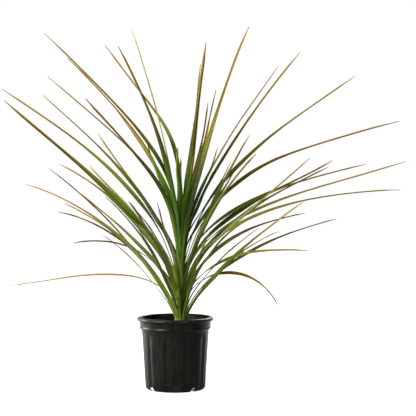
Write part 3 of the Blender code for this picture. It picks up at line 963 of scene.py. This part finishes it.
def build_cane(material):
    """The cane, ringed by the scars of the leaves it has shed."""
    points = []
    values = {"around": [], "height": [], "ring": []}
    for row in range(CANE_ROWS):
        height = CANE_FOOT + (CANE_TOP - CANE_FOOT) * row / (CANE_ROWS - 1)
        for column in range(CANE_COLUMNS):
            turn = 2 * math.pi * column / CANE_COLUMNS
            # Each scar climbs and dips a little on its way round.
            wander = 0.9 * MM * math.sin(turn * 2 + height * 310)
            wander += 0.5 * MM * math.sin(turn * 3 + height * 170)
            phase = ((height + wander) / RING_SPACING) % 1.0
            ring = max(0.0, 1.0 - abs(phase - 0.5) / RING_HALF_WIDTH)
            lumps = 0.28 * MM * uneven(*on_circle(2, turn), height * 90)
            radius = cane_radius(height) - RING_DEPTH * ring + lumps - 0.15 * MM
            radius *= 1.0 - 0.55 * smooth_step((height - CANE_TOP + 4 * MM) / (4 * MM))
            x, y = on_circle(radius, turn)
            points.append((CANE_X + x, y, height))
            values["around"].append(math.sin(turn))
            values["height"].append(height)
            values["ring"].append(ring)
    faces = tube_faces(CANE_ROWS, CANE_COLUMNS)
    piece("ringed_cane", points, faces, material, ["cane"], values, sharp=50)


# ---- leaves


def order_share(number):
    """How far up the order of the leaves one stands, from 0 to 1."""
    return number / (len(LEAVES) - 1)


def base_height(number):
    return LOWEST_LEAF + (HIGHEST_LEAF - LOWEST_LEAF) * order_share(number) ** 1.15


def leaf_path(leaf, number, share):
    """(distance from the cane's axis, height) at a share of the way along a leaf."""
    reach, tip_height = leaf.reach * MM, leaf.tip_height * MM
    low, high = math.radians(leaf.low_lean), math.radians(leaf.tip_lean)
    start_height = base_height(number)
    start_reach = cane_radius(start_height) + LEAF_GAP + LEAF_THICKNESS / 2
    length = math.hypot(reach - start_reach, tip_height - start_height)
    turn = max(0.05, abs(high - low))
    handle = leaf.stiffness * length * math.tan(turn / 4) / (1.5 * math.sin(turn / 2))
    lower, upper = leaf.bend * handle, (2.0 - leaf.bend) * handle
    points = (
        Vector((start_reach, start_height)),
        Vector((start_reach + lower * math.sin(low), start_height + lower * math.cos(low))),
        Vector((reach - upper * math.sin(high), tip_height - upper * math.cos(high))),
        Vector((reach, tip_height)),
    )
    rest = 1.0 - share
    weights = (rest**3, 3 * rest * rest * share, 3 * rest * share * share, share**3)
    return sum((point * weight for point, weight in zip(points, weights)), Vector((0.0, 0.0)))


def leaf_half_width(leaf, share, radius):
    width = leaf.width * MM
    base = min(BASE_WIDTH_SHARE * width, WRAP_SHARE * radius)
    grown = base + (width - base) * smooth_step(share / FULL_WIDTH_SHARE)
    length = math.hypot(leaf.reach, leaf.tip_height - MIDDLE_BASE) * MM
    early = smooth_step((length - SHORT_LEAF) / LONG_LEAF_EXTRA)
    tail = (share - THIN_FROM + THIN_EARLIER * early) / (THIN_OVER + THIN_LONGER * early)
    thinned = 1.0 - THINNING * smooth_step(tail)
    pointed = 1.0 - smooth_step((share - POINT_FROM) / (1.0 - POINT_FROM))
    drawn_out = 1.0 - DRAWN_OUT * smooth_step((share - DRAWN_OUT_FROM) / (1.0 - DRAWN_OUT_FROM))
    return (TAIL_WIDTH + (grown * thinned - TAIL_WIDTH) * pointed) * drawn_out / 2


def base_offset(order):
    """How far a leaf's base stands off the cane, over the bases of the leaves above it."""
    grown = COLUMN_FOOT + (COLUMN_CROWN - COLUMN_FOOT) * order
    return grown * (1.0 - 0.8 * smooth_step((order - 0.84) / 0.16))


def leaf_line(leaf, number):
    """Rows of (share, distance, height, half width): the clasping sheath, then the blade."""
    order = order_share(number)
    start = base_height(number)
    first = leaf_path(leaf, number, 0.0)
    offset = base_offset(order)
    length = SHEATH_FOOT_LENGTH + (SHEATH_CROWN_LENGTH - SHEATH_FOOT_LENGTH) * order**1.2
    least = LEAST_BASE_HALF + (CROWN_BASE_HALF - LEAST_BASE_HALF) * order
    narrow = max(leaf_half_width(leaf, 0.0, first.x), least)
    rows = []
    for i in range(SHEATH_ROWS):
        risen = i / SHEATH_ROWS
        height = start - length * (1.0 - risen)
        distance = cane_radius(height) + SHEATH_GAP + offset * risen**1.2
        clasping = math.radians(SHEATH_WRAP) * distance
        half = narrow + (clasping - narrow) * (1.0 - smooth_step(risen)) ** 1.3
        rows.append([0.0, distance, height, half])
    moved = cane_radius(start) + SHEATH_GAP + offset - first.x
    for i in range(LEAF_ROWS + 1):
        share = (i / LEAF_ROWS) ** 1.15
        here = leaf_path(leaf, number, share)
        held = 1.0 - smooth_step(share / SHEATH_BLEND_SHARE)
        half = leaf_half_width(leaf, share, here.x)
        rows.append([share, here.x + moved * held, here.y, half + (narrow - half) * held])
    # The bend from the sheath into the blade is eased over a few rows.
    for _ in range(6):
        for i in range(SHEATH_ROWS - 3, SHEATH_ROWS + 5):
            for k in (1, 2):
                rows[i][k] = (rows[i - 1][k] + 2 * rows[i][k] + rows[i + 1][k]) / 4
    return rows


def leaf_faces(rows, count):
    """The faces of a leaf's two sides, then of its margins and ends."""
    shift = rows * count
    faces = turned_over(grid_faces(rows, count, closed=False))
    faces += grid_faces(rows, count, shift, closed=False)
    edges = []
    for row in range(rows - 1):
        here, there = row * count, (row + 1) * count
        edges += [(here, there), (there + count - 1, here + count - 1)]
    for column in range(count - 1):
        here = (rows - 1) * count + column
        edges += [(column + 1, column), (here, here + 1)]
    return faces + [(here, there, shift + there, shift + here) for here, there in edges]


def build_leaf(name, leaf, number, material, nodes=()):
    chance = random.Random(LEAF_SEED + round(number * 10))
    heading = math.radians(leaf.heading)
    out = Vector((math.cos(heading), math.sin(heading), 0.0))
    up = Vector((0.0, 0.0, 1.0))
    side = Vector((-math.sin(heading), math.cos(heading), 0.0))
    sway = chance.uniform(0.5, 1.4) * MM * chance.choice((-1.0, 1.0))
    sway_turns = chance.uniform(1.2, 2.4)
    sway_start = chance.uniform(0.0, 6.0)
    twist = chance.uniform(-9.0, 9.0)
    twist_turns = chance.uniform(0.8, 1.8)
    seed = chance.uniform(0.0, 60.0)
    line = leaf_line(leaf, number)
    upper, lower, along_values, across_values = [], [], [], []
    for i, (share, distance, height, half) in enumerate(line):
        before, after = line[max(0, i - 1)], line[min(len(line) - 1, i + 1)]
        lean = math.atan2(after[1] - before[1], after[2] - before[2])
        along = out * math.sin(lean) + up * math.cos(lean)
        face = up * math.sin(lean) - out * math.cos(lean)
        free = smooth_step((share - UNROLLED_SHARE) / (ROLLED_SHARE - UNROLLED_SHARE))
        roll = math.radians(leaf.roll + twist * math.sin(twist_turns * 2 * math.pi * share)) * free
        across = side * math.cos(roll) + face * math.sin(roll)
        above = face * math.cos(roll) - side * math.sin(roll)
        inward = above * math.cos(lean) - along * math.sin(lean)
        swayed = sway * math.sin(sway_turns * 2 * math.pi * share + sway_start) * smooth_step(share / 0.4)
        middle = Vector((CANE_X, 0.0, 0.0)) + out * distance + up * height + across * swayed
        waved = half * (1.0 + 0.05 * uneven(share * 22.0, seed, 0.0))
        # The blade is folded more deeply toward its tip.
        folded = 1.0 - 0.5 * share + FOLD_EXTRA * smooth_step((share - FOLD_FROM) / FOLD_OVER)
        channel = CHANNEL_SHARE * 2 * half * smooth_step(share / 0.2) * folded
        if i < SHEATH_ROWS:
            coloured, thin, ribbed = SHEATH_ALONG * i / SHEATH_ROWS, 0.45, 0.0
        else:
            coloured = SHEATH_ALONG + (1.0 - SHEATH_ALONG) * share
            thin, ribbed = 0.60 + 0.40 * smooth_step(1.0 - share), 1.0 - share
        for place in ACROSS:
            turn = place * waved / distance
            point = middle + across * distance * math.sin(turn)
            point += inward * distance * (1.0 - math.cos(turn))
            point += above * channel * math.sqrt(place * place + 0.012)
            point += above * (RIPPLE * uneven(share * 30.0, place * 1.5, seed) * free)
            thickness = thin * LEAF_THICKNESS * (0.30 + 0.70 * (1.0 - place * place))
            rib = MIDRIB_HEIGHT * math.exp(-((place / 0.11) ** 2)) * ribbed
            upper.append(point + above * thickness / 2)
            lower.append(point - above * (thickness / 2 + rib))
            along_values.append(coloured)
            across_values.append(place)
    count = len(upper)
    below_values = [0.0] * count + [1.0] * count
    young = smooth_step((order_share(number) - YOUNG_FROM) / YOUNG_OVER)
    same = ([amount] * 2 * count for amount in (seed, leaf.dry, leaf.dark, leaf.pale, young))
    values = dict(zip(LEAF_VALUES, (along_values * 2, across_values * 2, below_values, *same)))
    faces = leaf_faces(len(line), len(ACROSS))
    piece(name, upper + lower, faces, material, nodes, values, sharp=55)


# ---- stage


def build_floor():
    """A pale floor that keeps the shadow."""
    mesh = bpy.data.meshes.new("floor")
    half = FLOOR_HALF_SIZE
    corners = [(-half, -half, 0.0), (half, -half, 0.0), (half, half, 0.0), (-half, half, 0.0)]
    mesh.from_pydata(corners, [], [(0, 1, 2, 3)])
    floor = placed("floor", mesh)
    floor.location.z = FLOOR_HEIGHT
    made = surface("floor_white")
    made.tree.nodes.remove(made.tree.nodes["Principled BSDF"])
    x, y, _ = made.axes(made.position())
    away = made.maths("SQRT", made.plus(made.maths("POWER", x, 2.0), made.maths("POWER", y, 2.0)))
    # The floor is a touch darker round the pot, where its shadow lies, and fades to white. The part
    # in front is dim to gloss, so that gloss that faces the viewer stays dark.
    level = made.span(away, 0.25, 1.5, FLOOR_NEAR_LEVEL, 1.0)
    seen = shown_white(made, made.span(y, -0.1, 0.5, ROOM, 1.0))
    matte = made.filled("ShaderNodeBsdfDiffuse", {"Color": FLOOR_GREY})
    glow = made.filled("ShaderNodeEmission", {"Strength": made.times(seen, level)})
    both = made.filled("ShaderNodeAddShader", {0: matte[0], 1: glow[0]})
    made.put(made.tree.nodes["Material Output"].inputs["Surface"], both[0])
    mesh.materials.append(made.owner)


def shown_white(made, to_gloss):
    """1 to the camera and through glass, and a share of that to gloss."""
    rays = made.add("ShaderNodeLightPath").outputs
    seen = made.maths("MAXIMUM", rays["Is Camera Ray"], rays["Is Transmission Ray"])
    return made.maths("MAXIMUM", seen, made.times(rays["Is Glossy Ray"], to_gloss))


def build_world():
    """A white surround, dim to gloss that faces the viewer."""
    world = bpy.data.worlds.new("studio")
    bpy.context.scene.world = world
    made = Nodes(world)
    y = made.axes(made.position("Generated"))[1]
    seen = shown_white(made, made.span(y, -0.25, 0.35, ROOM, 1.0))
    background = made.tree.nodes["Background"]
    made.put(background.inputs["Color"], (1.0, 1.0, 1.0))
    made.put(background.inputs["Strength"], made.maths("MAXIMUM", seen, SURROUND))


def aim(made, place, target):
    """Puts an object at a place and turns its -Z axis to a target."""
    made.location = place
    made.rotation_mode = "QUATERNION"
    made.rotation_quaternion = (Vector(target) - Vector(place)).to_track_quat("-Z", "Y")


def build_lights():
    for name, place, size, watts in LIGHTS:
        data = bpy.data.lights.new(name, "AREA")
        data.shape = "SQUARE"
        data.size = size
        data.energy = watts
        aim(placed(name, data), place, LIGHT_TARGET)


def build_camera():
    data = bpy.data.cameras.new("camera")
    data.sensor_width = SENSOR_WIDTH
    data.lens = CAMERA_LENS
    camera = placed("camera", data)
    aim(camera, CAMERA_PLACE, CAMERA_TARGET)
    bpy.context.scene.camera = camera


def main():
    bpy.context.scene.view_settings.view_transform = "Standard"
    build_camera()
    build_floor()
    build_world()
    build_lights()
    build_pot(pot_material())
    build_soil(soil_material())
    build_bark(bark_material())
    build_lumps("peat_crumbs", soil_material(), PEAT_CRUMBS, 31, 1.2 * MM, 3.6 * MM, 1, 0.7, 0.25)
    build_lumps("perlite_grains", perlite_material(), PERLITE_GRAINS, 37, 1.8 * MM, 4.4 * MM, 2, 0.5, 0.35)
    build_roots(root_material())
    build_cane(cane_material())
    green = leaf_material()
    for number, row in enumerate(LEAVES):
        place = f"{number + 1:02d}"
        build_leaf(f"blade_{place}", Leaf(*row), number, green, [f"leaf_{place}"])
    for count, row in enumerate(FILLERS):
        build_leaf(f"filler_blade_{count + 1:02d}", Leaf(*row[1:]), row[0], green)


main()
